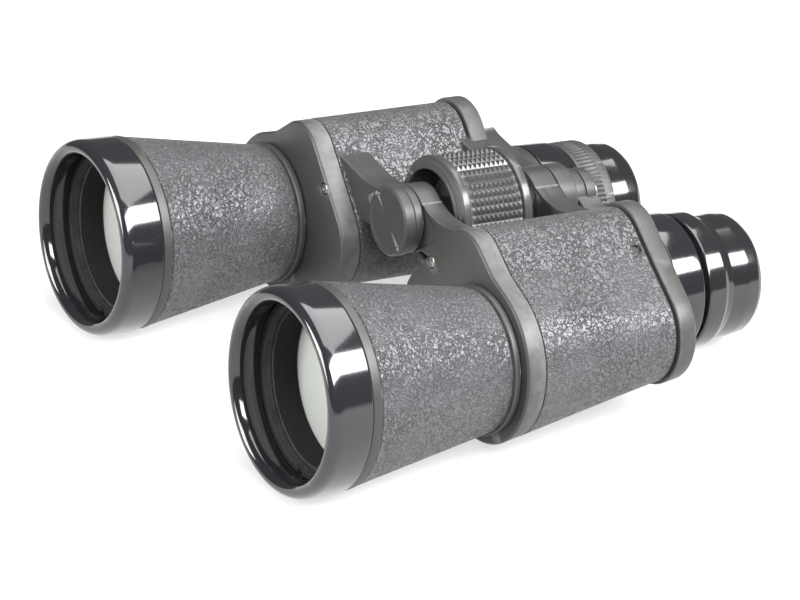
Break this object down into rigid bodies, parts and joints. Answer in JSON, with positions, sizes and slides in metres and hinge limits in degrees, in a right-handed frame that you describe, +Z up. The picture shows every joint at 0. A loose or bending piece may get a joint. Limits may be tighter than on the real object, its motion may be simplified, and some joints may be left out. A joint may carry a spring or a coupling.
{
  "type": "binoculars",
  "caption": "Centre-focus Porro-prism binoculars with leatherette-covered barrels, a folding hinge, a knurled focus wheel and a dioptre ring.",
  "frame": {"origin": "middle of the bounding box, on the plane of the table that the bezels and the eyepiece sleeves rest on", "axes": "+Z up; the objectives look along -Y and 3.43 degrees up, as the binoculars rest; +X towards the user's left barrel"},
  "size_m": [0.1878, 0.1852, 0.065],
  "materials": {
    "satin_black": "satin black enamel on cast aluminium alloy",
    "gloss_black": "gloss black enamel on turned aluminium alloy",
    "matt_black": "matte black anodised aluminium alloy",
    "leatherette": "creased black leatherette",
    "wheel_black": "satin black moulded plastic with a pyramid knurl",
    "eyecup_black": "gloss black hard plastic",
    "steel": "turned steel",
    "coated_glass": "polished glass with a pale green coating"
  },
  "bodies": {
    "left_barrel": {"left_objective_bezel": "gloss_black", "left_objective_lens": "coated_glass", "left_lock_ring": "matt_black", "left_lens_cell_ring": "matt_black", "left_objective_tube": "satin_black", "left_tube_leatherette": "leatherette", "left_tube_collar": "satin_black", "left_front_cover": "satin_black", "left_cover_screw": "steel", "left_prism_housing": "satin_black", "left_body_leatherette": "leatherette", "left_prism_set_screw": "steel", "left_rear_cover": "satin_black", "left_prism_shelf": "matt_black", "left_front_prism": "coated_glass", "left_rear_prism": "coated_glass", "left_eyepiece_guide": "satin_black", "hinge_axle": "steel", "hinge_cap": "satin_black"},
    "right_barrel": {"right_objective_bezel": "gloss_black", "right_objective_lens": "coated_glass", "right_lock_ring": "matt_black", "right_lens_cell_ring": "matt_black", "right_objective_tube": "satin_black", "right_tube_leatherette": "leatherette", "right_tube_collar": "satin_black", "right_front_cover": "satin_black", "right_cover_screw": "steel", "right_prism_housing": "satin_black", "right_body_leatherette": "leatherette", "right_prism_set_screw": "steel", "right_rear_cover": "satin_black", "right_prism_shelf": "matt_black", "right_front_prism": "coated_glass", "right_rear_prism": "coated_glass", "right_eyepiece_guide": "satin_black"},
    "focus_wheel": {"focus_wheel": "wheel_black"},
    "left_carriage": {"left_bridge_arm": "satin_black", "left_eyepiece_sleeve": "gloss_black", "left_ocular_barrel": "matt_black", "left_eye_lens": "coated_glass", "left_field_lens": "coated_glass", "left_eyecup": "eyecup_black", "focus_rod": "steel", "bridge_screw": "steel"},
    "right_carriage": {"right_bridge_arm": "satin_black", "right_eyepiece_sleeve": "gloss_black"},
    "right_ocular": {"right_ocular_barrel": "matt_black", "right_eye_lens": "coated_glass", "right_field_lens": "coated_glass"},
    "diopter_ring": {"diopter_ring": "satin_black", "right_eyecup": "eyecup_black"}
  },
  "joints": [
    {"name": "interpupillary_hinge", "type": "hinge", "parent": "left_barrel", "child": "right_barrel", "pos_m": [0, 0.01165, 0.04575], "axis": [0, 0.9982, -0.0598], "range_deg": [-25, 20]},
    {"name": "focus_wheel_turn", "type": "hinge", "parent": "left_barrel", "child": "focus_wheel", "pos_m": [0, 0.01165, 0.04575], "axis": [0, 0.9982, -0.0598], "range_deg": [-58, 433]},
    {"name": "left_eyepiece_slide", "type": "slide", "parent": "left_barrel", "child": "left_carriage", "axis": [0, 0.9982, -0.0598], "range_m": [-0.0008, 0.006]},
    {"name": "right_eyepiece_slide", "type": "slide", "parent": "right_barrel", "child": "right_carriage", "axis": [0, 0.9982, -0.0598], "range_m": [-0.00085, 0.00605]},
    {"name": "diopter_turn", "type": "hinge", "parent": "right_ocular", "child": "diopter_ring", "pos_m": [-0.0331, 0.07534, 0.022], "axis": [0, 0.9982, -0.0598], "range_deg": [-70.3, 70.3]},
    {"name": "right_ocular_slide", "type": "slide", "parent": "right_carriage", "child": "right_ocular", "axis": [0, 0.9982, -0.0598], "range_m": [-0.0012, 0.0012]}
  ],
  "couplings": [
    {"joint": "focus_wheel_turn", "follows": "left_eyepiece_slide", "rad_per_m": 1256.6},
    {"joint": "right_eyepiece_slide", "follows": "left_eyepiece_slide", "ratio": 1},
    {"joint": "diopter_turn", "follows": "right_ocular_slide", "rad_per_m": 1018.1}
  ]
}
